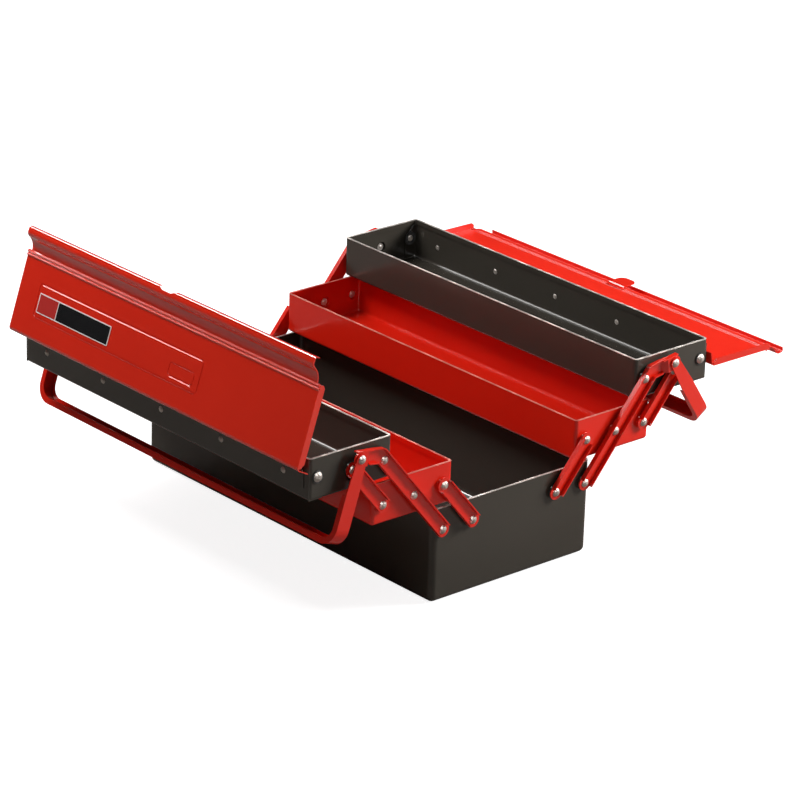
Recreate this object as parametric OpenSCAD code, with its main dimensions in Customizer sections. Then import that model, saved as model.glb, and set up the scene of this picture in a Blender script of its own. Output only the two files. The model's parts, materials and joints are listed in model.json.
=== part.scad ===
// Cantilever tool box of pressed steel: a deep base, four trays on folding arms, two hinged lids
// and two carrying handles, drawn fully open.
// Millimetres, +Z up. X runs along the box and Y across it. The origin is on the ground under the
// middle of the base. The rear half (+Y) is drawn, and the front half is its mirror image.

/* [Box] */
// Length of the base and the trays
box_l = 475; // [330:5:700]
// Width of the base
box_w = 220; // [212:1:236]
// Height of the base
base_h = 106; // [80:1:200]
// Thickness of the sheet steel
sheet = 1; // [0.8:0.1:1.4]
// Radius of the base's edges
base_r = 7; // [4:0.5:12]
// Depth of the hem folded in around each rim
hem_h = 6; // [3:0.5:9]
// Thickness that the hem adds inside the rim
hem_t = 1.1; // [0.6:0.1:1.5]

/* [Trays] */
// Height of each tray
tray_h = 46; // [42:0.5:46.5]
// Radius of the trays' edges
tray_r = 4; // [2.5:0.5:6]
// From the middle plane to a tray's inner wall when the box is closed
middle_gap = 3; // [2:0.5:8]
// Width of the corner tab folded onto an upper tray's end wall
tab_w = 17; // [12:1:24]

/* [Folding arms] */
// Distance between neighbouring pivots along an arm
link_len = 64; // [62.5:0.5:65]
// Angle of the arms from level when the box is open
open_angle = 50; // [49:0.5:54]
// Angle of the arms from level when the box is closed
closed_angle = 131.4; // [130:0.1:132]
// Distance across between an arm's pivot and the short link's
pivot_gap = 41.5; // [36:0.5:44]
// From the base's long wall in to the arm's pivot
pivot_inset = 10; // [9.5:0.5:11]
// From the base's rim down to its pivots
pivot_drop = 23; // [15:0.5:24]
// From a tray's floor up to its pivots
tray_pivot_up = 22.6; // [22:0.1:23.5]
// Width of the channel links
link_w = 16.4; // [12:0.2:16.4]
// Thickness of the links
link_t = 1.2; // [1:0.1:1.4]
// Height of the links' turned-out edges
link_rim = 4.2; // [2:0.1:4.4]
// From the top pivot on to the bend of the arm's crank
crank_at = 10; // [8:0.5:11]
// Length of the crank from its bend to the handle's pivot
crank_len = 30; // [28:0.5:32]
// How far the crank's end is set outwards
crank_step = 6; // [5.9:0.1:7]

/* [Rivets] */
// Radius of the pivot rivets
rivet_r = 2.8; // [2.4:0.1:3]
// Radius of the thin end of a pivot rivet, which is clenched inside the wall
tenon_r = 1.9; // [1.5:0.1:1.9]
// Radius of their domed heads
head_r = 4.6; // [4:0.1:5]
// Height of their domed heads
head_h = 2.5; // [1.5:0.1:2.8]
// Radial play of a working pivot
running_gap = 0.06; // [0.03:0.01:0.09]
// Radial play of a short link's far pivot
loose_gap = 0.3; // [0.2:0.05:0.5]
// Radius of the pressed boss under each pivot
boss_r = 7.5; // [6.8:0.1:8]
// Height of the pressed bosses
boss_h = 2.5; // [1.5:0.1:3]

/* [Lid hinges] */
// From a tray's rim down to its hinge pin
hinge_drop = 14.2; // [10:0.2:18]
// From a tray's wall out to its hinge pin
hinge_out = 2.7; // [2.6:0.1:3.5]
// Radius of the hinge pin
pin_r = 1.2; // [1:0.1:1.4]
// Outer radius of the hinge knuckles
knuckle_r = 2.3; // [2:0.1:2.4]
// Number of knuckles, odd
knuckle_n = 23; // [11:2:31]
// Thickness of the hinge leaf
leaf_t = 0.8; // [0.6:0.1:1]
// Height of the hinge leaf
leaf_h = 19; // [16:0.5:22]
// Distance between the hinge's rivets
leaf_pitch = 99; // [60:0.5:105]

/* [Lids] */
// How far a lid reaches past each end of its tray
lid_over = 3.8; // [3.6:0.1:4.6]
// Height of the lid's leg from the pin to the shoulder
lid_leg = 18; // [16:0.1:22]
// Slope of the closed lid's panel
lid_slope = 9.6; // [6:0.1:14]
// Depth of the lid's turned-down end edges
lid_rim = 6.6; // [5:0.2:9]
// Height of the two stiffening beads
bead_h = 1.5; // [0.5:0.1:2]
// Radius of the cove between the panel and the ridge
cove_r = 17; // [10:0.5:20]
// Radius of the ridge
ridge_r = 6; // [4:0.5:8]
// How far the ridge is cut back at each end
lip_cut = 5; // [4.2:0.1:9]
// Width of the catch notch in the front lid
notch_w = 32; // [24:1:50]
// How far the front lid is open
front_lid_open = 62.4; // [0:0.1:100]
// How far the rear lid is open
rear_lid_open = 170.8; // [110:0.1:172]

/* [Handles] */
// From the pivots to the outside of the grip
handle_len = 94; // [86:0.5:95]
// Width of the handle's channel
handle_w = 16.5; // [13:0.1:16.6]
// Thickness of the handle's steel
handle_t = 1.5; // [1.2:0.1:2]
// Height of the handle's turned-in edges
handle_rim = 5; // [3:0.1:5.1]
// Outer radius of the handle's bends
bend_r = 20; // [12:1:30]
// Width of the handle at its pivots
neck_w = 12.5; // [11:0.1:13]
// Length of the plain neck below the pivots
neck_len = 39; // [34:1:44]
// How far the front handle hangs out from plumb
front_hang = 18; // [16:0.5:24]
// How far the rear handle hangs out from plumb
rear_hang = 34; // [26:0.5:40]

/* [Hidden] */
$fn = 48;
eps = 0.02;
half_l = box_l / 2;
half_w = box_w / 2;
side_gap = 0.2; // play between parts that slide face to face
tail_r = 4.2;
corner_fn = 28; // facets of the rounded corners of the pressed boxes

// places in the cross-section, as [outwards, up]
function polar(a, r) = [r * cos(a), r * sin(a)];
b1 = [half_w - pivot_inset, base_h - pivot_drop];
b2 = b1 - [pivot_gap, 0];
t1 = b1 + polar(open_angle, link_len);
t3 = t1 + [pivot_gap, 0];
u1 = b1 + polar(open_angle, 2 * link_len);
tray_w = half_w - middle_gap;
// a closed tray's outer wall stands over the base's wall, so the closed pivots set where the walls are
lower_out = half_w - b1[0] - link_len * cos(closed_angle);
upper_out = half_w - b1[0] - 2 * link_len * cos(closed_angle);

// layers out from an end wall
boss_x = half_l + boss_h;
web_x = boss_x + side_gap;
web_top = web_x + link_t;
pad_x = web_x + crank_step;
pad_top = pad_x + link_t;
handle_x = pad_top + side_gap;
handle_top = handle_x + handle_t;

// the crank is upright when the box is closed
crank_turn = 90 - closed_angle;
crank_bend = 2 * link_len + crank_at;
handle_pivot_on_arm = [crank_bend, 0] + polar(crank_turn, crank_len);

// lid
lid_l = half_l + lid_over;
shoulder_r = 4;
bead_w = 3.5;
ridge_rise = 70;
ridge_flat = 3;
hook_r = 2;
hook_l = 3;
lip_gap = 0.7;
cove_run = cove_r * (sin(ridge_rise) - sin(lid_slope));
ridge_run = ridge_r * sin(ridge_rise) + ridge_flat + hook_r + sheet / 2;
lid_reach = half_w + hinge_out - lip_gap;
panel_l = (lid_reach - cove_run - ridge_run) / cos(lid_slope);
hinge_l = box_l - 16;
knuckle_pitch = hinge_l / knuckle_n;

paint_dark = [0.16, 0.15, 0.14];
paint_red = [0.75, 0.06, 0.04];
bright = [0.75, 0.75, 0.76];

// ---- helpers -------------------------------------------------------------------------------

// draws the rear part and its mirror image at the other end
module both_ends() {
    children();
    mirror([1, 0, 0]) children();
}

module front() {
    mirror([0, 1, 0]) children();
}

module left() {
    mirror([1, 0, 0]) children();
}

// an outline in the cross-section, [outwards, up], made h thick along X from x
module section(x, h) {
    translate([x, 0, 0]) rotate([90, 0, 90]) linear_extrude(height = h) children();
}

// a round bar along X, from x to x + h, at the place p
module bar(x, h, p, r) {
    translate([x, p[0], p[1]]) rotate([0, 90, 0]) cylinder(h = h, r = r);
}

// puts a part drawn about its pivot at the place p, turned by a
module at(p, a = 0) {
    translate([0, p[0], p[1]]) rotate([a, 0, 0]) children();
}

// a block with round upright corners and a round bottom edge, its floor at z = 0
module round_block(l, w, h, r) {
    x = l / 2 - r;
    y = w / 2 - r;
    hull() {
        for (i = [-1, 1], j = [-1, 1]) {
            translate([i * x, j * y, r]) sphere(r = r, $fn = corner_fn);
            translate([i * x, j * y, r]) cylinder(h = h - r, r = r, $fn = corner_fn);
        }
    }
}

// the flat outline of a box with round corners
module round_outline(l, w, r) {
    square([l - 2 * r, w], center = true);
    square([l, w - 2 * r], center = true);
    for (i = [-1, 1], j = [-1, 1]) {
        translate([i * (l / 2 - r), j * (w / 2 - r)]) circle(r = r);
    }
}

// an open pressed box with a hemmed rim, its floor at z = 0
module pan(l, w, h, r) {
    t = sheet;
    difference() {
        union() {
            round_block(l, w, h, r);
        }
        translate([0, 0, t]) round_block(l - 2 * t, w - 2 * t, h, r - t);
    }
    translate([0, 0, h - hem_h]) difference() {
        linear_extrude(height = hem_h) round_outline(l - t, w - t, r - t / 2);
        translate([0, 0, -1]) linear_extrude(height = hem_h + 2)
            round_outline(l - 2 * (t + hem_t), w - 2 * (t + hem_t), max(r - t - hem_t, 0.8));
    }
}

// the raised outside of a pivot's boss, and the hollow behind it with the rivet's hole
module boss(p) {
    translate([half_l - sheet / 2, p[0], p[1]]) rotate([0, 90, 0])
        cylinder(h = boss_h + sheet / 2, r1 = boss_r, r2 = boss_r - 1);
}

module boss_hollow(p) {
    translate([half_l - sheet - 3, p[0], p[1]]) rotate([0, 90, 0])
        cylinder(h = boss_h + 3, r1 = boss_r - 1, r2 = boss_r - 1.6);
    bar(half_l - 3, boss_h + 6, p, tenon_r + eps);
}

// a rivet head: a cap of radius r and height h, rising along +Z from z = 0
module dome(r, h) {
    ball = (r * r + h * h) / (2 * h);
    intersection() {
        translate([0, 0, h - ball]) sphere(r = ball);
        cylinder(h = h + 1, r = r);
    }
}

// the rolled tail of a tubular rivet: a dome with a hole in its middle
module hollow_tail(r, h) {
    difference() {
        dome(r, h);
        translate([0, 0, 0.5]) cylinder(h = h, r = r * 0.4);
    }
}

// a pivot rivet: the link turns on its shoulder, which stands on the boss, and its thin end goes
// through the wall to a ring and a clenched tail inside
module pivot_rivet(p) {
    tail_x = boss_x - sheet - eps;
    translate([0, p[0], p[1]]) {
        translate([web_top + side_gap / 2, 0, 0]) rotate([0, 90, 0]) dome(head_r, head_h);
        bar(boss_x + eps, web_top + side_gap / 2 - boss_x + 0.1, [0, 0], rivet_r);
        bar(tail_x - 0.4, boss_x - tail_x + 0.6, [0, 0], tenon_r);
        bar(tail_x - 0.8, 0.8, [0, 0], tail_r);
        translate([tail_x - 0.7, 0, 0]) rotate([0, -90, 0]) dome(tenon_r + 0.4, 0.9);
    }
}

// ---- base ----------------------------------------------------------------------------------

module base_box() {
    color(paint_dark) difference() {
        union() {
            pan(box_l, box_w, base_h, base_r);
            both_ends() for (p = [b1, b2]) {
                boss(p);
                front() boss(p);
            }
        }
        both_ends() for (p = [b1, b2]) {
            boss_hollow(p);
            front() boss_hollow(p);
        }
    }
}

module base_rivets() {
    color(bright) both_ends() for (p = [b1, b2]) {
        pivot_rivet(p);
        front() pivot_rivet(p);
    }
}

// ---- trays ---------------------------------------------------------------------------------

// a tray drawn about its arm pivot, with its outer wall at wall_y and a boss at each pivot
module tray(wall_y, pivots) {
    difference() {
        union() {
            translate([0, wall_y - tray_w / 2, -tray_pivot_up]) pan(box_l, tray_w, tray_h, tray_r);
            both_ends() for (p = pivots) boss(p);
            children();
        }
        both_ends() for (p = pivots) boss_hollow(p);
    }
}

module lower_tray() {
    at(t1) tray(lower_out, [[0, 0], [-pivot_gap, 0], [pivot_gap, 0]]);
}

// the tab of the long wall that is folded onto the end wall, with its slanted top
module corner_tab() {
    top = tray_h - tray_pivot_up - hem_h;
    low = sheet / 2 - tray_pivot_up;
    inner = upper_out - sheet / 2;
    section(half_l - 2 * sheet, sheet + 0.1) polygon([
        [inner, low], [inner, top], [inner - 3, top], [inner - tab_w, top - tab_w + 3],
        [inner - tab_w, low]
    ]);
}

stud_at = [upper_out - 10.5, tray_h - tray_pivot_up - 21];
stud_r = 1.9;

module upper_tray() {
    at(u1) difference() {
        tray(upper_out, [[0, 0], [pivot_gap, 0]]) both_ends() corner_tab();
        both_ends() {
            bar(half_l - 4, 8, stud_at, stud_r + eps);
            for (i = [-2:2]) leaf_rivet_hole(i);
        }
    }
}

module lower_rivets() {
    at(t1) both_ends() for (p = [[0, 0], [-pivot_gap, 0], [pivot_gap, 0]]) pivot_rivet(p);
}

module upper_rivets() {
    at(u1) both_ends() for (p = [[0, 0], [pivot_gap, 0]]) pivot_rivet(p);
}

// the thick washers and the bright button near each end of an upper tray
washer_t = 1;
stud_head_r = 5.4;
stud_head_h = 3;
// the inner washer's free face, against which the stud's tail is set
stud_tail = half_l - 2 * sheet - washer_t - 2 * eps;

module stud_washers() {
    at(u1) both_ends() difference() {
        union() {
            bar(half_l + eps, washer_t, stud_at, 7);
            bar(stud_tail + eps, washer_t, stud_at, 8);
        }
        bar(stud_tail - 1, half_l - stud_tail + washer_t + 2, stud_at, stud_r + eps);
    }
}

module studs() {
    at(u1) both_ends() translate([0, stud_at[0], stud_at[1]]) {
        translate([half_l + washer_t + 2 * eps, 0, 0]) rotate([0, 90, 0])
            dome(stud_head_r, stud_head_h);
        bar(stud_tail - 0.4, half_l - stud_tail + washer_t + 0.8, [0, 0], stud_r);
        translate([stud_tail, 0, 0]) rotate([0, -90, 0]) hollow_tail(3.6, 1.2);
    }
}

// ---- folding arms --------------------------------------------------------------------------

// the flat web of a link from its pivot at the origin to its pivot at [l, 0]
module web_outline(l) {
    translate([0, -link_w / 2]) square([l, link_w]);
    for (x = [0, l]) translate([x, 0]) circle(d = link_w);
}

// a turned-out edge of a link, from x0 to x1 along it, on the side s
module edge(x0, x1, s) {
    y0 = s > 0 ? link_w / 2 - link_t : -link_w / 2;
    section(web_x, link_t + link_rim) translate([x0, y0]) square([x1 - x0, link_t]);
}

module short_link() {
    difference() {
        union() {
            section(web_x, link_t) web_outline(link_len);
            for (s = [-1, 1]) edge(0, link_len - 1, s);
        }
        bar(web_x - 1, link_t + 2, [0, 0], rivet_r + running_gap);
        bar(web_x - 1, link_t + 2, [link_len, 0], rivet_r + loose_gap);
    }
}

// the crank slopes outwards between these places along it
step_from = 15;
step_to = 21;
pad_past = 6;
lid_room = 0.5;

// the outline of an arm w wide, from a along it to b along its crank
module arm_outline(w, a, b) {
    translate([a, -w / 2]) square([crank_bend - a, w]);
    translate([crank_bend, 0]) {
        circle(d = w);
        rotate(crank_turn) translate([0, -w / 2]) square([b, w]);
    }
}

module crank() {
    translate([0, 0, -link_w / 2]) linear_extrude(height = link_w) polygon([
        [web_x + 0.3, step_from - 1], [web_x + 0.3, step_from], [pad_x, step_to],
        [pad_x, crank_len], [pad_top, crank_len], [pad_top, step_to - 0.6],
        [web_top - 0.3, step_from - 1]
    ]);
    section(pad_x, link_t) translate([crank_len, 0]) circle(d = link_w);
    // the upper edge stands as high as the end of the crank, and past the step it leaves room for
    // the end of the closed lid
    section(web_x + link_t / 2, crank_step + link_t / 2)
        translate([step_from - 1, link_w / 2 - link_t]) square([step_to - step_from + 1, link_t]);
    section(web_top + lid_room, pad_top - web_top - lid_room)
        translate([step_to - 0.5, link_w / 2 - link_t])
            square([crank_len + pad_past - step_to + 0.5, link_t]);
}

module arm() {
    difference() {
        union() {
            section(web_x, link_t) {
                circle(d = link_w);
                arm_outline(link_w, 0, step_from);
            }
            section(web_x + link_t / 2, link_t / 2 + link_rim) difference() {
                arm_outline(link_w, 0, step_from);
                arm_outline(link_w - 2 * link_t, -1, step_from + 1);
            }
            at([crank_bend, 0], crank_turn) crank();
        }
        for (x = [0, link_len, 2 * link_len]) bar(web_x - 1, link_t + 2, [x, 0], rivet_r + running_gap);
        bar(pad_x - 1, link_t + 2, handle_pivot_on_arm, rivet_r + eps);
    }
}

module rear_arm() {
    at(b1, open_angle) arm();
}

module low_link() {
    at(b2, open_angle) short_link();
}

module top_link() {
    at(t3, open_angle) short_link();
}

// ---- lid hinges ----------------------------------------------------------------------------

// the hinge pin's place from the upper tray's arm pivot
hinge_at = [upper_out + hinge_out, tray_h - tray_pivot_up - hinge_drop];
leaf_rivet_r = 1.9;
leaf_rivet_z = -9.8;

module leaf_rivet_hole(i) {
    translate([i * leaf_pitch, upper_out - 4, hinge_at[1] + leaf_rivet_z]) rotate([-90, 0, 0])
        cylinder(h = 12, r = leaf_rivet_r + eps);
}

// one knuckle, k-th of the hinge, about the pin
module knuckle(k) {
    gap = 0.3;
    x = -hinge_l / 2 + k * knuckle_pitch + gap / 2;
    difference() {
        bar(x, knuckle_pitch - gap, [0, 0], knuckle_r);
        bar(x - 1, knuckle_pitch + 2, [0, 0], pin_r + running_gap);
    }
}

// the fixed leaf, about the pin
module hinge_leaf() {
    back = -hinge_out + eps;
    top = -knuckle_r - 0.3;
    difference() {
        union() {
            translate([-hinge_l / 2, back, -leaf_h]) cube([hinge_l, leaf_t, leaf_h + top]);
            for (k = [0:2:knuckle_n - 1]) {
                translate([-hinge_l / 2 + k * knuckle_pitch + 0.15, back, top - 0.1])
                    cube([knuckle_pitch - 0.3, hinge_out - pin_r - 0.2, -top - 0.2]);
            }
        }
        for (i = [-2:2]) translate([i * leaf_pitch, -5, leaf_rivet_z]) rotate([-90, 0, 0])
            cylinder(h = 12, r = leaf_rivet_r + eps);
        bar(-half_l, box_l, [0, 0], knuckle_r - 0.3);
    }
    for (k = [0:2:knuckle_n - 1]) knuckle(k);
}

module hinge_rivets() {
    face = -hinge_out + leaf_t + 2 * eps;
    for (i = [-2:2]) translate([i * leaf_pitch, 0, leaf_rivet_z]) rotate([-90, 0, 0]) {
        translate([0, 0, face]) dome(3.4, 1.6);
        translate([0, 0, -hinge_out - sheet - 0.4]) cylinder(h = leaf_t + sheet + 0.6, r = leaf_rivet_r);
        translate([0, 0, -hinge_out - sheet - eps]) rotate([180, 0, 0]) hollow_tail(3, 1);
    }
}

module at_hinge(a = 0) {
    at(u1 + hinge_at, a) children();
}

module hinge_pin() {
    bar(-hinge_l / 2, hinge_l, [0, 0], pin_r);
}

// ---- lids ----------------------------------------------------------------------------------

// A lid is drawn closed, about its pin. Its sheet follows a path of [outwards, up] points.
function along(d) = [-cos(d), sin(d)];
function normal(d) = [sin(d), cos(d)];
corner_cut = shoulder_r * tan((90 - lid_slope) / 2);
leg_bottom = knuckle_r + 0.3;
shoulder_path = [for (i = [0:8]) let (a = i / 8 * (90 - lid_slope))
    [-shoulder_r, lid_leg - corner_cut] + polar(a, shoulder_r)];
bead_steps = 8;
bead_start = [0, lid_leg] + (panel_l - 2 * bead_w) * along(lid_slope);
bead_path = [for (i = [0:2 * bead_steps]) let (u = i / bead_steps)
    bead_start + u * bead_w * along(lid_slope) + bead_h * pow(sin(u * 180), 2) * normal(lid_slope)];
panel_end = [0, lid_leg] + panel_l * along(lid_slope);
cove_centre = panel_end + cove_r * normal(lid_slope);
cove_path = [for (i = [1:10]) let (d = lid_slope + i / 10 * (ridge_rise - lid_slope))
    cove_centre - cove_r * normal(d)];
cove_end = cove_centre - cove_r * normal(ridge_rise);
ridge_centre = cove_end - ridge_r * normal(ridge_rise);
ridge_path = [for (i = [1:10]) let (d = ridge_rise * (1 - i / 10))
    ridge_centre + ridge_r * normal(d)];
ridge_top = ridge_centre[1] + ridge_r;
flat_end = [ridge_centre[0] - ridge_flat, ridge_top];
hook_path = [for (i = [0:6]) flat_end + [0, -hook_r] + hook_r * normal(-i * 15)];
hook_end = [[flat_end[0] - hook_r, ridge_top - hook_r - hook_l]];
panel_path = concat([[0, leg_bottom]], shoulder_path, bead_path);
lip_path = concat([panel_end - 0.8 * along(lid_slope), panel_end], cove_path, ridge_path, hook_path,
    hook_end);

// the outline of a sheet of thickness t that follows a path
function unit(v) = v / norm(v);
function path_normal(p, i) =
    let (a = p[max(i - 1, 0)], b = p[min(i + 1, len(p) - 1)], v = unit(b - a)) [v[1], -v[0]];
function sheet_outline(p, t) = concat(
    [for (i = [0:len(p) - 1]) p[i] + t / 2 * path_normal(p, i)],
    [for (i = [len(p) - 1:-1:0]) p[i] - t / 2 * path_normal(p, i)]);

// the turned-down edge at one end of the lid
module lid_end() {
    u0 = 1.5;
    inside = -sheet / 2 * normal(lid_slope);
    a = [0, lid_leg] + u0 * along(lid_slope) + inside;
    b = [0, lid_leg] + (panel_l - 1) * along(lid_slope) + inside;
    down = -lid_rim * normal(lid_slope);
    section(lid_l - sheet, sheet) polygon([
        a - inside / 2, a + 0.4 * down, a + down + 5 * along(lid_slope), b + down - 3 * along(lid_slope),
        b + 0.6 * down, b - inside / 2
    ]);
}

module lid() {
    section(-lid_l, 2 * lid_l) polygon(sheet_outline(panel_path, sheet));
    section(-lid_l + lip_cut, 2 * (lid_l - lip_cut)) polygon(sheet_outline(lip_path, sheet));
    both_ends() lid_end();
    for (k = [1:2:knuckle_n - 1]) {
        knuckle(k);
        translate([-hinge_l / 2 + k * knuckle_pitch + 0.15, -sheet / 2, pin_r + 0.3])
            cube([knuckle_pitch - 0.3, sheet, leg_bottom - pin_r]);
    }
}

// pressed panels on the front lid: a long one with a small one inside its right end, as
// [from the left end, from the right end, from the shoulder, from the beads]
long_panel = [33, 170, 24, 21];
small_panel = [262, 179, 30, 37];
panel_line = 1.6;
panel_depth = 0.35;

module pressed_line(q) {
    x0 = -lid_l + q[0];
    x1 = lid_l - q[1];
    v0 = q[2];
    v1 = panel_l - 2 * bead_w - q[3];
    at([0, lid_leg] + sheet / 2 * normal(lid_slope), -lid_slope) {
        translate([(x0 + x1) / 2, -(v0 + v1) / 2, -panel_depth]) difference() {
            linear_extrude(height = 2) round_outline(x1 - x0, v1 - v0, 4);
            translate([0, 0, -1]) linear_extrude(height = 4)
                round_outline(x1 - x0 - 2 * panel_line, v1 - v0 - 2 * panel_line, 4 - panel_line);
        }
    }
}

// the notch has slanted sides, and this floor and depth
notch_floor = 15;
notch_cut = 4;

module front_lid_sheet() {
    difference() {
        lid();
        translate([0, -lid_reach - 2, lid_leg]) linear_extrude(height = 60) polygon([
            [-notch_w / 2, 0], [notch_w / 2, 0], [notch_w / 2, 2], [notch_floor / 2, 2 + notch_cut],
            [-notch_floor / 2, 2 + notch_cut], [-notch_w / 2, 2]
        ]);
        pressed_line(long_panel);
        pressed_line(small_panel);
    }
}

// the blank badge plate on the front lid
badge_l = 124;
badge_w = 21.5;
badge_t = 0.5;

module badge() {
    at([0, lid_leg] + (sheet / 2 + eps) * normal(lid_slope), -lid_slope)
        translate([-lid_l + 37, -panel_l + 2 * bead_w + 31, 0]) linear_extrude(height = badge_t)
            translate([badge_l / 2, badge_w / 2]) round_outline(badge_l, badge_w, 1.5);
}

// the tongue under the middle of the rear lid: a plate that lies on the inside of the sheet and
// steps down from it, with a round end under the ridge
tongue_w = 24;
tongue_t = 1.2;
tongue_from = 84;
tongue_bend = 88;
tongue_step = 1.4;
tongue_tip = 110.5;
tongue_r = 8;

module tongue() {
    face = -sheet / 2 - eps - tongue_t / 2;
    path = [[tongue_from, face], [tongue_bend, face], [tongue_bend + 0.8, face - 0.2],
        [tongue_bend + 2, face - tongue_step + 0.2], [tongue_bend + 2.8, face - tongue_step],
        [tongue_tip, face - tongue_step]];
    at([0, lid_leg], -lid_slope) intersection() {
        section(-tongue_w / 2, tongue_w)
            polygon(sheet_outline([for (q = path) [-q[0], q[1]]], tongue_t));
        translate([0, 0, -8]) linear_extrude(height = 12) {
            translate([-tongue_w / 2, -tongue_tip + tongue_r]) square([tongue_w, tongue_tip]);
            translate([tongue_r - tongue_w / 2, -tongue_tip])
                square([tongue_w - 2 * tongue_r, tongue_r + 1]);
            for (x = [-1, 1]) translate([x * (tongue_w / 2 - tongue_r), tongue_r - tongue_tip])
                circle(r = tongue_r);
        }
    }
}

// ---- handles -------------------------------------------------------------------------------

// the channel of a handle in section: web outwards, edges turned in
module channel_outline() {
    translate([-handle_t, -handle_w / 2]) square([handle_t, handle_w]);
    for (s = [0, 1]) mirror([0, s]) translate([-handle_t - handle_rim, handle_w / 2 - handle_t])
        square([handle_rim + 0.1, handle_t]);
}

// a handle hanging straight down from its pivots at the origin
module handle() {
    straight = handle_len - bend_r;
    both_ends() {
        difference() {
            union() {
                section(handle_x, handle_t) {
                    circle(d = neck_w);
                    polygon([
                        [-neck_w / 2, 0], [neck_w / 2, 0], [handle_w / 2, -neck_len + 4],
                        [handle_w / 2, -neck_len - 1], [-handle_w / 2, -neck_len - 1],
                        [-handle_w / 2, -neck_len + 4]
                    ]);
                }
                translate([handle_top, 0, -straight]) linear_extrude(height = straight - neck_len)
                    channel_outline();
                translate([handle_top - bend_r, 0, -straight]) rotate([-90, 0, 0])
                    rotate_extrude(angle = 90) translate([bend_r, 0]) channel_outline();
            }
            bar(handle_x - 1, handle_t + 2, [0, 0], rivet_r + running_gap);
        }
    }
    bar_l = 2 * (handle_top - bend_r);
    translate([-bar_l / 2, 0, -handle_len]) rotate([0, 90, 0]) linear_extrude(height = bar_l)
        channel_outline();
}

// the rivet that joins a handle to the end of a crank
module handle_rivet() {
    tail_x = pad_x - eps;
    translate([handle_top + side_gap / 2, 0, 0]) rotate([0, 90, 0]) dome(head_r, head_h);
    bar(tail_x - 0.5, handle_top + side_gap / 2 - tail_x + 0.6, [0, 0], rivet_r);
    bar(tail_x - 1, 1, [0, 0], rivet_r + 1);
}

module at_handle(a = 0) {
    at(b1, open_angle) at(handle_pivot_on_arm, a - open_angle) children();
}

// ---- sub-parts -----------------------------------------------------------------------------

module front_lower_tray() { color(paint_red) front() lower_tray(); }
module front_upper_tray() { color(paint_dark) front() upper_tray(); }
module front_lower_rivets() { color(bright) front() lower_rivets(); }
module front_upper_rivets() { color(bright) front() upper_rivets(); }
module front_arm_right() { color(paint_red) front() rear_arm(); }
module front_arm_left() { color(paint_red) front() left() rear_arm(); }
module front_low_link_right() { color(paint_red) front() low_link(); }
module front_low_link_left() { color(paint_red) front() left() low_link(); }
module front_top_link_right() { color(paint_red) front() top_link(); }
module front_top_link_left() { color(paint_red) front() left() top_link(); }
module front_hinge_leaf() { color(paint_dark) front() at_hinge() hinge_leaf(); }
module front_hinge_rivets() { color(bright) front() at_hinge() hinge_rivets(); }
module front_hinge_pin() { color(bright) front() at_hinge() hinge_pin(); }
module front_lid() { color(paint_red) front() at_hinge(-front_lid_open) front_lid_sheet(); }
module front_lid_badge() { color([0.05, 0.05, 0.05]) front() at_hinge(-front_lid_open) badge(); }
module front_stud_washers() { color([0.08, 0.08, 0.08]) front() stud_washers(); }
module front_studs() { color(bright) front() studs(); }
module front_handle() { color(paint_red) front() at_handle(front_hang) handle(); }
module front_handle_rivets() { color(bright) front() at_handle() both_ends() handle_rivet(); }

module rear_lower_tray() { color(paint_red) lower_tray(); }
module rear_upper_tray() { color(paint_dark) upper_tray(); }
module rear_lower_rivets() { color(bright) lower_rivets(); }
module rear_upper_rivets() { color(bright) upper_rivets(); }
module rear_arm_right() { color(paint_red) rear_arm(); }
module rear_arm_left() { color(paint_red) left() rear_arm(); }
module rear_low_link_right() { color(paint_red) low_link(); }
module rear_low_link_left() { color(paint_red) left() low_link(); }
module rear_top_link_right() { color(paint_red) top_link(); }
module rear_top_link_left() { color(paint_red) left() top_link(); }
module rear_hinge_leaf() { color(paint_dark) at_hinge() hinge_leaf(); }
module rear_hinge_rivets() { color(bright) at_hinge() hinge_rivets(); }
module rear_hinge_pin() { color(bright) at_hinge() hinge_pin(); }
module rear_lid() { color(paint_red) at_hinge(-rear_lid_open) lid(); }
module rear_lid_tongue() { color(paint_red) at_hinge(-rear_lid_open) tongue(); }
module rear_stud_washers() { color([0.08, 0.08, 0.08]) stud_washers(); }
module rear_studs() { color(bright) studs(); }
module rear_handle() { color(paint_red) at_handle(rear_hang) handle(); }
module rear_handle_rivets() { color(bright) at_handle() both_ends() handle_rivet(); }

base_box();
base_rivets();
front_lower_tray();
front_upper_tray();
front_lower_rivets();
front_upper_rivets();
front_arm_right();
front_arm_left();
front_low_link_right();
front_low_link_left();
front_top_link_right();
front_top_link_left();
front_hinge_leaf();
front_hinge_rivets();
front_hinge_pin();
front_lid();
front_lid_badge();
front_stud_washers();
front_studs();
front_handle();
front_handle_rivets();
rear_lower_tray();
rear_upper_tray();
rear_lower_rivets();
rear_upper_rivets();
rear_arm_right();
rear_arm_left();
rear_low_link_right();
rear_low_link_left();
rear_top_link_right();
rear_top_link_left();
rear_hinge_leaf();
rear_hinge_rivets();
rear_hinge_pin();
rear_lid();
rear_lid_tongue();
rear_stud_washers();
rear_studs();
rear_handle();
rear_handle_rivets();
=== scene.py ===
# %% [markdown]
# # A cantilever tool box
# The pressed-steel box stands open: a deep dark base, red and dark trays on folding arms, and two
# red lids. The solids come from the imported model and never move. This script gives them paint,
# a painted highlight along the rims, plain steel rivets and a badge plate, and adds a floor, a
# sky, lamps and a camera.

import json
import math

import bpy
from mathutils import Matrix, Vector


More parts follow.
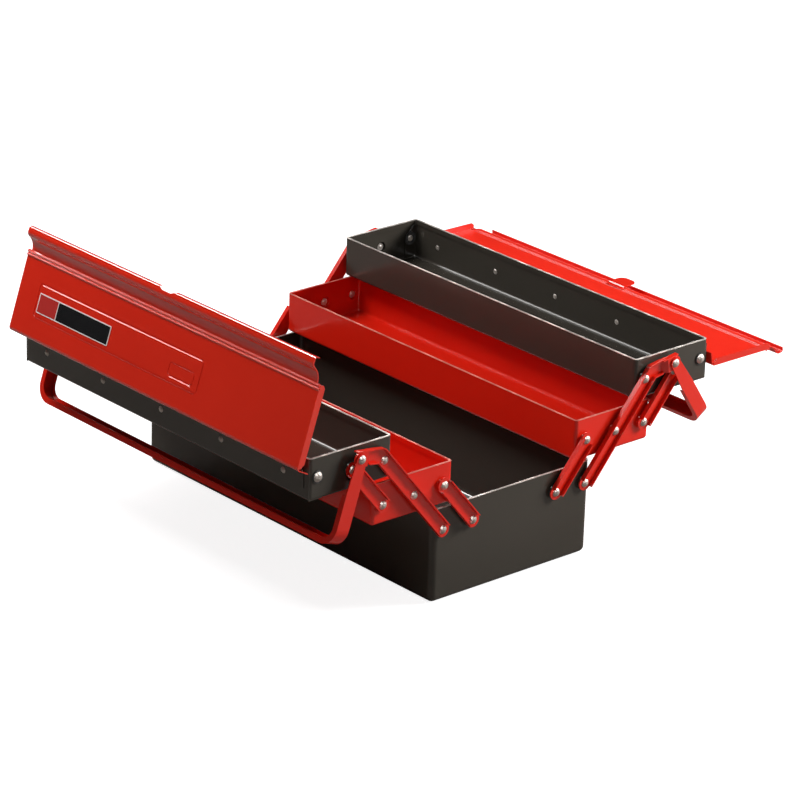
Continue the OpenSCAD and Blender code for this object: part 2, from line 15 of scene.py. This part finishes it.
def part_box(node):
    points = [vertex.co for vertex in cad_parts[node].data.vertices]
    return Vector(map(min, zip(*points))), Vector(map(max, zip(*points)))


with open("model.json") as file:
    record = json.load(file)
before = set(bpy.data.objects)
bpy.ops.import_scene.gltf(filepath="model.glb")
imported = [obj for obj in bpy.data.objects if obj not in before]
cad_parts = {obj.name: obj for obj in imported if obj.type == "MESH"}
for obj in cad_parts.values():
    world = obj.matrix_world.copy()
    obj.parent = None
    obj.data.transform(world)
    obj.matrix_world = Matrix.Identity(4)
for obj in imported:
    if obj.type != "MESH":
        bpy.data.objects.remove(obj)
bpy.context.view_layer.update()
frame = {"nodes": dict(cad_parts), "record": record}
scene = bpy.context.scene
MM = 0.001

# %% [markdown]
# ## Camera
# A long lens far away keeps the box's edges nearly parallel. The camera is set by its azimuth,
# elevation and roll round a point on the box, as a surveyor would note them down.

# %% Camera
AZIMUTH, ELEVATION, ROLL = 48.384, 21.914, 1.820
FOCAL_PX, DISTANCE = 3912.6, 4244.75 * MM
CENTRE_PX = (401.988, 390.919)
AIM = Vector((0, 52.481, 120.989)) * MM
FRAME_PX, SENSOR_MM = 800, 36
FAR_PLANE = 50


def camera_axes(azimuth, elevation, roll):
    """The camera's right, up and back directions, from three angles in degrees."""
    a, e, r = (math.radians(angle) for angle in (azimuth, elevation, roll))
    back = Vector((math.sin(a) * math.cos(e), -math.cos(a) * math.cos(e), math.sin(e)))
    right = Vector((math.cos(a), math.sin(a), 0))
    up = back.cross(right)
    return (right * math.cos(r) + up * math.sin(r), up * math.cos(r) - right * math.sin(r), back)


bpy.ops.object.camera_add()
camera = bpy.context.object
right, up, back = camera_axes(AZIMUTH, ELEVATION, ROLL)
turn = Matrix((right, up, back)).transposed().to_4x4()
camera.matrix_world = Matrix.Translation(AIM + back * DISTANCE) @ turn
camera.data.sensor_width = SENSOR_MM
camera.data.lens = FOCAL_PX / FRAME_PX * SENSOR_MM
camera.data.shift_x = -(CENTRE_PX[0] - FRAME_PX / 2) / FRAME_PX
camera.data.shift_y = (CENTRE_PX[1] - FRAME_PX / 2) / FRAME_PX
camera.data.clip_end = FAR_PLANE
scene.camera = camera
print("lens", round(camera.data.lens, 1), "mm")

# %% [markdown]
# ## Shader arithmetic
# A finish is a small sum over the surface. One class wraps a node's output, so that a sum is
# written as plain Python, and each sign adds one Math node. A second class holds a node tree and
# the few kinds of node that the finishes share.


# %% One wire
class Wire:
    """One output of a node, which can be added, multiplied and compared."""

    def __init__(self, sheet, socket):
        self.sheet, self.socket = sheet, socket

    def _do(self, operation, a, b=0.0, clamp=False):
        settings = {"operation": operation, "use_clamp": clamp}
        return self.sheet.node("ShaderNodeMath", settings, [a, b])

    def __add__(self, other):
        return self._do("ADD", self, other)

    def __sub__(self, other):
        return self._do("SUBTRACT", self, other)

    def __rsub__(self, other):
        return self._do("SUBTRACT", other, self)

    def __mul__(self, other):
        return self._do("MULTIPLY", self, other)

    def __gt__(self, other):
        return self._do("GREATER_THAN", self, other)

    def __lt__(self, other):
        return self._do("LESS_THAN", self, other)

    def __abs__(self):
        return self._do("ABSOLUTE", self)

    __radd__, __rmul__ = __add__, __mul__

    def clamp(self):
        return self._do("ADD", self, clamp=True)


print("wires ready")

# %% One node tree
class Sheet:
    """A material's node tree, with a Principled shader ready at its end."""

    def __init__(self, name, constants):
        self.material = bpy.data.materials.new(name)
        self.material.use_nodes = True
        self.tree = self.material.node_tree
        self.tree.nodes.clear()
        out = self.tree.nodes.new("ShaderNodeOutputMaterial")
        self.shader = self.tree.nodes.new("ShaderNodeBsdfPrincipled")
        self.tree.links.new(self.shader.outputs[0], out.inputs[0])
        for socket, value in constants.items():
            self.shader.inputs[socket].default_value = value

    @classmethod
    def of_tree(cls, tree):
        """A sheet over a tree that has no Principled shader, such as the sky's."""
        sheet = cls.__new__(cls)
        sheet.tree = tree
        tree.nodes.clear()
        return sheet

    def node(self, kind, settings=None, inputs=(), output=0):
        """Any node, from its type, its settings, and the values or wires of its sockets."""
        made = self.tree.nodes.new(kind)
        for key, value in (settings or {}).items():
            setattr(made, key, value)
        pairs = inputs.items() if isinstance(inputs, dict) else enumerate(inputs)
        for key, value in pairs:
            self.feed(made.inputs[key], value)
        return Wire(self, made.outputs[output])

    def feed(self, socket, value):
        if isinstance(value, Wire):
            self.tree.links.new(value.socket, socket)
        else:
            socket.default_value = value

    def set(self, socket, value):
        self.feed(self.shader.inputs[socket], value)

    def place(self):
        return self.node("ShaderNodeTexCoord", output="Object")

    def axis(self, letter, vector=None):
        """One coordinate of a vector, or of the point's place on the object."""
        return self.node("ShaderNodeSeparateXYZ", inputs=[vector or self.place()], output=letter)

    def noise(self, scale, detail=2.0, roughness=0.5):
        inputs = {"Vector": self.place(), "Scale": scale, "Detail": detail, "Roughness": roughness}
        return self.node("ShaderNodeTexNoise", inputs=inputs)

    def blend(self, share, a, b):
        inputs = {"Factor": share, "A": a, "B": b}
        return self.node("ShaderNodeMix", {"data_type": "RGBA"}, inputs, "Result")

    def vector(self, operation, *inputs, output="Vector"):
        return self.node("ShaderNodeVectorMath", {"operation": operation}, inputs, output)

    def ray(self, kind):
        return self.node("ShaderNodeLightPath", output=kind)


print("shader helpers ready")

# %% [markdown]
# ## Painted rim highlights
# A pale line is painted along the top rims as a highlight, where the real folded edges catch the
# lamps: the colour there turns light, part metal and rougher. The long rims get more of it than
# the ends. A mask on the height picks out the rim, and a noise breaks it into patches, which is
# simpler than modelling the lit edge.

# %% Painted rim highlights
RIM_REACH = 0.6 * MM
HEM = 1.5 * MM
LONG_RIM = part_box("rear_upper_tray")[1][0] - HEM
# Share of the painted rim highlight that the end rims keep.
END_HIGHLIGHT = 0.35
PATCHES = 1.6


# The rim line is a painted highlight: a pale, part-metal colour on the rims.
def painted_rim_highlight(sheet, heights):
    """How much painted rim highlight, from 0 to 1, lies along rims at some heights."""
    sides = (abs(sheet.axis("X")) < LONG_RIM) * (1.0 - END_HIGHLIGHT) + END_HIGHLIGHT
    patchy = sheet.noise(scale=60.0) * PATCHES
    rim_highlight = 0.0
    for height in heights:
        rim_highlight = (abs(sheet.axis("Z") - height) < RIM_REACH) * patchy * sides + rim_highlight
    return rim_highlight.clamp()


print("long rims reach", round(LONG_RIM, 4), "m to each side")

# %% [markdown]
# ## Pressed outlines
# The front lid's two shallow panels are pressed into the sheet, and their long edges catch the
# light as thin lines. The grooves are in the solid. Here the normal leans up or down the lid's
# slope in a narrow stripe beside each groove, as the rounded edge of a real pressing does.

# %% Pressed outlines
EDGE_REACH = 0.4 * MM
UP_THE_LID = {"Y": 0.17, "Z": 0.53}
# Each edge, in millimetres: its two ends across the lid, its height, and how far it leans up.
LID_EDGES = [
    (-204.3, 67.3, 254.8, 1.0),
    (-204.3, 67.3, 221.2, -0.8),
    (24.7, 58.3, 240.2, -0.8),
    (24.7, 58.3, 226.9, 1.0),
]


def leaning(sheet, edges):
    """The surface's normal, tilted along each of some edges."""
    across, height = sheet.axis("X"), sheet.axis("Z")
    tilt = 0.0
    for start, end, level, way in edges:
        beside = abs(across - (start + end) / 2 * MM) < (end - start) / 2 * MM
        tilt = beside * (abs(height - level * MM) < EDGE_REACH) * way + tilt
    parts = {letter: tilt * share for letter, share in UP_THE_LID.items()}
    lean = sheet.node("ShaderNodeCombineXYZ", inputs=parts)
    flat = sheet.node("ShaderNodeNewGeometry", output="Normal")
    return sheet.vector("NORMALIZE", sheet.vector("ADD", flat, lean))


print("pressed edges", len(LID_EDGES))

# %% [markdown]
# ## Paint
# Stoved enamel on steel is smooth but never perfectly flat: it carries a faint orange peel, and
# its tone and gloss vary a little where hands have rubbed it. One flat colour would look like
# plastic, so three noises, each finer than the last, change the tone, the gloss and the surface.

# %% Paint
PEEL_DEPTH = 0.2 * MM
CONTRAST, DARK_PART = 1.6, 0.3
SMEAR = 0.08
# Extra roughness where the painted rim highlight lies.
HIGHLIGHT_ROUGHER = 0.35


def paint(name, colour, darker, gloss, peel, coat, rims=(), highlight_colour=(0.95, 0.88, 0.82), edges=()):
    """An enamel; gloss is its mean roughness, and the pale colour given for rims is a highlight
    painted along them.
    """
    sheet = Sheet(name, {"Coat Weight": coat, "Coat Roughness": 0.05, "Specular IOR Level": 0.5})
    cloud = sheet.noise(scale=9.0, detail=4.0, roughness=0.6)
    enamel = sheet.blend((cloud * CONTRAST - DARK_PART).clamp(), (*darker, 1), (*colour, 1))
    rim_highlight = 0.0
    if rims:
        rim_highlight = painted_rim_highlight(sheet, rims)
        # Painted highlight: the rims take the pale colour and turn partly metal.
        enamel = sheet.blend(rim_highlight, enamel, (*highlight_colour, 1))
        sheet.set("Metallic", rim_highlight)
    sheet.set("Base Color", enamel)
    smear = sheet.noise(scale=35.0, detail=3.0, roughness=0.65) * SMEAR
    sheet.set("Roughness", rim_highlight * HIGHLIGHT_ROUGHER + (smear + (gloss - SMEAR / 2)))
    grain = sheet.noise(scale=900.0, detail=1.0)
    bump = {"Strength": peel, "Distance": PEEL_DEPTH, "Height": grain}
    if edges:
        bump["Normal"] = leaning(sheet, edges)
    sheet.set("Normal", sheet.node("ShaderNodeBump", inputs=bump))
    return sheet.material


print("orange peel", PEEL_DEPTH / MM, "mm deep")

# %% [markdown]
# ## Red and dark enamels
# The red is one paint in four states: glossy on arms and handles, with a pink highlight painted
# along the lower trays' rims, polished under a clear coat on the front lid, and satin on the rear
# lid. The dark enamel is a warm near-black on the base, the upper trays and the hinge leaves,
# with a pale, part-metal highlight painted along the rims.

# %% Red and dark enamels
RED = {"colour": (0.80, 0.020, 0.007), "darker": (0.74, 0.016, 0.006)}
LID_RED = {"colour": (0.86, 0.028, 0.009), "darker": (0.80, 0.024, 0.008)}
INNER_RED = {"colour": (0.74, 0.019, 0.006), "darker": (0.70, 0.016, 0.005)}
DARK = {"colour": (0.055, 0.048, 0.039), "darker": (0.049, 0.043, 0.035)}
# Pink painted highlight for the red trays' rims.
RIM_HIGHLIGHT_RED = (0.95, 0.36, 0.30)
base_top, lower_top, upper_top = (
    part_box(name)[1][2] for name in ("base_box", "front_lower_tray", "front_upper_tray")
)
red_paint = paint("red_enamel", **RED, gloss=0.15, peel=0.05, coat=0.3)
red_tray = paint(
    "red_tray_enamel", **RED, gloss=0.17, peel=0.05, coat=0.0, rims=[lower_top], highlight_colour=RIM_HIGHLIGHT_RED
)
red_lid = paint("red_lid_enamel", **LID_RED, gloss=0.15, peel=0.05, coat=1.0, edges=LID_EDGES)
red_inside = paint("red_inner_enamel", **INNER_RED, gloss=0.36, peel=0.05, coat=0.0)
dark_paint = paint(
    "dark_enamel", **DARK, gloss=0.18, peel=0.06, coat=0.0, rims=[base_top, upper_top]
)
print("rims at", [round(top, 4) for top in (base_top, lower_top, upper_top)], "m")

# %% [markdown]
# ## Rivets and washers
# The rivets, the buttons and the hinge pins are plain steel, a little dulled and grey, so their
# metal is only partial and its roughness is patchy. Their domes are in the solids, and a finish is
# all they need. The buttons sit on dark rubber washers.

# %% Rivets and washers
STEEL = (0.60, 0.54, 0.49)
STEEL_SHADE = 0.75
SMOOTHEST, PATCHY = 0.30, 0.25
steel = Sheet("rivet_steel", {"Metallic": 0.6})
dull = [part * STEEL_SHADE for part in STEEL]
steel.set("Base Color", steel.blend(steel.noise(scale=180.0), (*dull, 1), (*STEEL, 1)))
steel.set("Roughness", steel.noise(scale=500.0) * PATCHY + SMOOTHEST)

rubber = Sheet("dark_washer", {"Roughness": 0.6})
dust = rubber.noise(scale=300.0)
rubber.set("Base Color", rubber.blend(dust, (0.012, 0.012, 0.012, 1), (0.03, 0.028, 0.026, 1)))
print("rivets and washers finished")

# %% [markdown]
# ## Badge plate
# The badge is a bare printed plate: a red field and a black field inside a pale edge, with a pale
# line between them. The fields are masks on the plate's own length and height, so the edges stay
# crisp at any size, which a painted picture's wouldn't.

# %% Badge plate
PLATE_EDGE = 1.1 * MM
HALF_LINE = 0.6 * MM
RED_SHARE = 0.27
PALE = (0.95, 0.88, 0.86, 1)
plate = Sheet("badge_black", {"Roughness": 0.22, "Coat Weight": 0.5})
(west, _, low), (east, _, high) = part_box("front_lid_badge")
across = plate.axis("X")
field_end = west + (east - west) * RED_SHARE


def near_end(place, start, end):
    """1 in the pale edge at either end of a range, and 0 between them."""
    return abs(place - (start + end) / 2) > (end - start) / 2 - PLATE_EDGE


border = near_end(across, west, east) + near_end(plate.axis("Z"), low, high)
lines = border + (abs(across - field_end) < HALF_LINE)
black = plate.blend(plate.noise(scale=60.0), (0.006, 0.006, 0.007, 1), (0.012, 0.012, 0.013, 1))
fields = plate.blend(across < field_end, black, (0.55, 0.035, 0.03, 1))
plate.set("Base Color", plate.blend(lines.clamp(), fields, PALE))
print("badge", round((east - west) / MM, 1), "by", round((high - low) / MM, 1), "mm")

# %% [markdown]
# ## Dress the nodes
# Each piece takes the finish of its material slot in the record, so a piece that is added later is
# dressed as well. The lids and the lower trays have a red of their own.

# %% Dress the nodes
slot_finish = {
    "red_paint": red_paint,
    "dark_paint": dark_paint,
    "bright_steel": steel.material,
    "washer": rubber.material,
    "badge": plate.material,
}
own_finish = {
    "front_lid": red_lid,
    "rear_lid": red_inside,
    "front_lower_tray": red_tray,
    "rear_lower_tray": red_tray,
}
slots = {part["node"]: part["material_slot"] for part in frame["record"]["subparts"]}
for name, node in frame["nodes"].items():
    node.data.materials.clear()
    node.data.materials.append(own_finish.get(name, slot_finish[slots[name]]))
print("dressed", len(slots), "nodes")

# %% [markdown]
# ## Folded edges
# Sheet that is cut and folded has no knife edge: paint pulls back to a small radius, which catches
# the light. It could be drawn into each solid, but a narrow bevel does it here for every node of
# sheet metal at once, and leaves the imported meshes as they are.

# %% Round the sheet edges
SHEET_EDGES = ("base_box", "tray", "arm", "link", "lid", "leaf", "handle")
for name, node in frame["nodes"].items():
    if "rivets" in name or not any(word in name for word in SHEET_EDGES):
        continue
    bevel = node.modifiers.new("edge", "BEVEL")
    bevel.width = 0.3 * MM
    bevel.segments = 2
    bevel.limit_method = "ANGLE"
    bevel.angle_limit = math.radians(40)
    bevel.harden_normals = True
print("edges rounded")

# %% [markdown]
# ## Floor
# The floor looks white to the camera, so it glows for camera rays only. To all other rays it is a
# duller, warm grey, and darker still in reflections, so that the dark sides that mirror it stay
# dark. It lies a hair below the base, so the two never share a plane.

# %% Floor
FLOOR_GLOW = 0.88
FLOOR_SIZE, JUST_BELOW = 30, -0.2 * MM
bpy.ops.mesh.primitive_plane_add(size=FLOOR_SIZE, location=(0, 0, JUST_BELOW))
floor = bpy.context.object
floor.name = "floor"
ground = Sheet("pale_floor", {"Roughness": 0.9, "Specular IOR Level": 0.1})
seen = ground.ray("Is Camera Ray")
bounced = ground.blend(ground.ray("Is Glossy Ray"), (0.40, 0.37, 0.33, 1), (0.24, 0.22, 0.205, 1))
ground.set("Base Color", ground.blend(seen, bounced, (0.5, 0.5, 0.5, 1)))
ground.set("Emission Color", (1, 1, 1, 1))
ground.set("Emission Strength", seen * FLOOR_GLOW)
floor.data.materials.append(ground.material)
print("floor laid")

# %% [markdown]
# ## Sky
# The camera sees a nearly white sky, but it gives only a weak, even light. Two bright forms in it
# show in reflections alone, as a studio's strip light and round light do. A narrow band runs from
# side to side above the front of the box, and draws the thin lines on ridges and rims that run
# along it. A soft round patch behind the box does the same for edges that run across it. Both are
# left out after a diffuse bounce, where they would only add grain.

# %% Sky
BACKGROUND, SKYLIGHT, DIMMED = 0.9, 0.10, 0.6
BAND_Y, BAND_FADE, BAND_FOOT, BAND_POWER = -0.26, 7.0, 0.3, 26.0
GLINT_AIM, GLINT_SPREAD, GLINT_POWER = (0.0, 0.616, 0.788), 12, 12.0
GLINT_FADE = 3
FIRST_HIT = 0.5
world = bpy.data.worlds.new("pale_sky")
scene.world = world
world.use_nodes = True
sky = Sheet.of_tree(world.node_tree)
direction = sky.node("ShaderNodeTexCoord", output="Generated")


def glint(aim, spread, power):
    """A bright round patch of sky, whose edge is soft."""
    near = sky.vector("DOT_PRODUCT", direction, aim, output="Value")
    full = math.cos(math.radians(spread))
    return ((near - full) * (GLINT_FADE / (1 - full)) + 1.0).clamp() * power


strip = (1.0 - abs(sky.axis("Y", direction) - BAND_Y) * BAND_FADE).clamp()
band = strip * (sky.axis("Z", direction) > BAND_FOOT) * BAND_POWER
mirrored = sky.ray("Is Glossy Ray")
first = sky.ray("Diffuse Depth") < FIRST_HIT
bright = (band + glint(GLINT_AIM, GLINT_SPREAD, GLINT_POWER)) * mirrored * first
plain = (1.0 - mirrored * DIMMED) * SKYLIGHT
strength = sky.ray("Is Camera Ray") * BACKGROUND + bright + plain
air = sky.node("ShaderNodeBackground", inputs={"Strength": strength})
out = world.node_tree.nodes.new("ShaderNodeOutputWorld")
world.node_tree.links.new(air.socket, out.inputs["Surface"])
scene.view_settings.view_transform = "Standard"
print("sky lit")

# %% [markdown]
# ## Lamps
# Four soft area lamps model the forms. The strong one behind on the right lights all that faces
# up or back, and throws the shadow on the floor forward. Three weaker ones in front open up the
# long sides and the ends.


# %% Lamps
def lamp(name, place, along, size, watts):
    """An area lamp that faces the box, with its length as near as can be to one direction."""
    bpy.ops.object.light_add(type="AREA")
    made = bpy.context.object
    made.name = name
    made.data.shape = "RECTANGLE"
    made.data.size, made.data.size_y = size
    made.data.energy = watts
    place, along = Vector(place), Vector(along)
    away = (place - AIM).normalized()
    side = (along - away * away.dot(along)).normalized()
    turn = Matrix((side, away.cross(side), away)).transposed().to_4x4()
    made.matrix_world = Matrix.Translation(place) @ turn


lamp("left", (-1.30, -0.42, 1.42), along=(1, 0, 0), size=(0.7, 0.5), watts=6)
lamp("front left", (-0.66, -0.60, 1.46), along=(1, 0, 0), size=(0.55, 0.55), watts=16)
lamp("front right", (0.97, -0.92, 2.12), along=(1, 0, 0), size=(0.8, 0.8), watts=3)
lamp("back right", (1.15, 1.85, 1.16), along=(0, 1, 0), size=(0.8, 0.8), watts=76)
print("lamps set")
